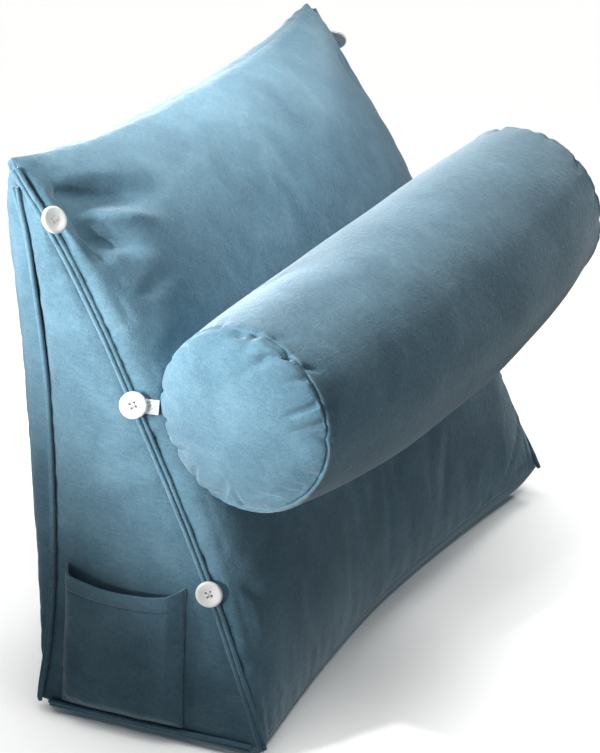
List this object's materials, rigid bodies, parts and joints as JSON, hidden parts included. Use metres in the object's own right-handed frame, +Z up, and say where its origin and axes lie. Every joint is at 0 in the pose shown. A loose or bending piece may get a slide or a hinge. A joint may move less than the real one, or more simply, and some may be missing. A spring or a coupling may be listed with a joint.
{
  "type": "wedge back cushion with neck bolster",
  "caption": "Stuffed wedge back cushion with a round neck bolster held across its front by buttoned elastic loops, and a patch pocket on one side.",
  "frame": {"origin": "on the floor, in the middle of the wedge's base as it is cut", "axes": "+Z up, +X along the width towards the side without the pocket, -Y is the way that the sloping front and the bolster face"},
  "size_m": [0.529, 0.3247, 0.4626],
  "materials": {
    "wedge_cloth": "short-pile suede cloth, dusty blue",
    "bolster_cloth": "short-pile suede cloth, dusty blue",
    "welt_cloth": "short-pile suede cloth, dusty blue, topstitched",
    "pocket_cloth": "short-pile suede cloth, dusty blue",
    "button_plastic": "white moulded polyester resin",
    "elastic": "white woven elastic",
    "thread": "white sewing thread"
  },
  "bodies": {
    "root": {"wedge_cushion": "wedge_cloth", "bolster": "bolster_cloth", "front_welt_left": "welt_cloth", "front_welt_right": "welt_cloth", "back_welt_left": "welt_cloth", "back_welt_right": "welt_cloth", "base_welt_left": "welt_cloth", "base_welt_right": "welt_cloth", "pocket": "pocket_cloth", "button_top_left": "button_plastic", "button_middle_left": "button_plastic", "button_low_left": "button_plastic", "button_top_right": "button_plastic", "button_middle_right": "button_plastic", "button_low_right": "button_plastic", "loop_left": "elastic", "loop_right": "elastic", "thread_shank_left": "thread", "thread_shank_right": "thread"}
  },
  "joints": []
}
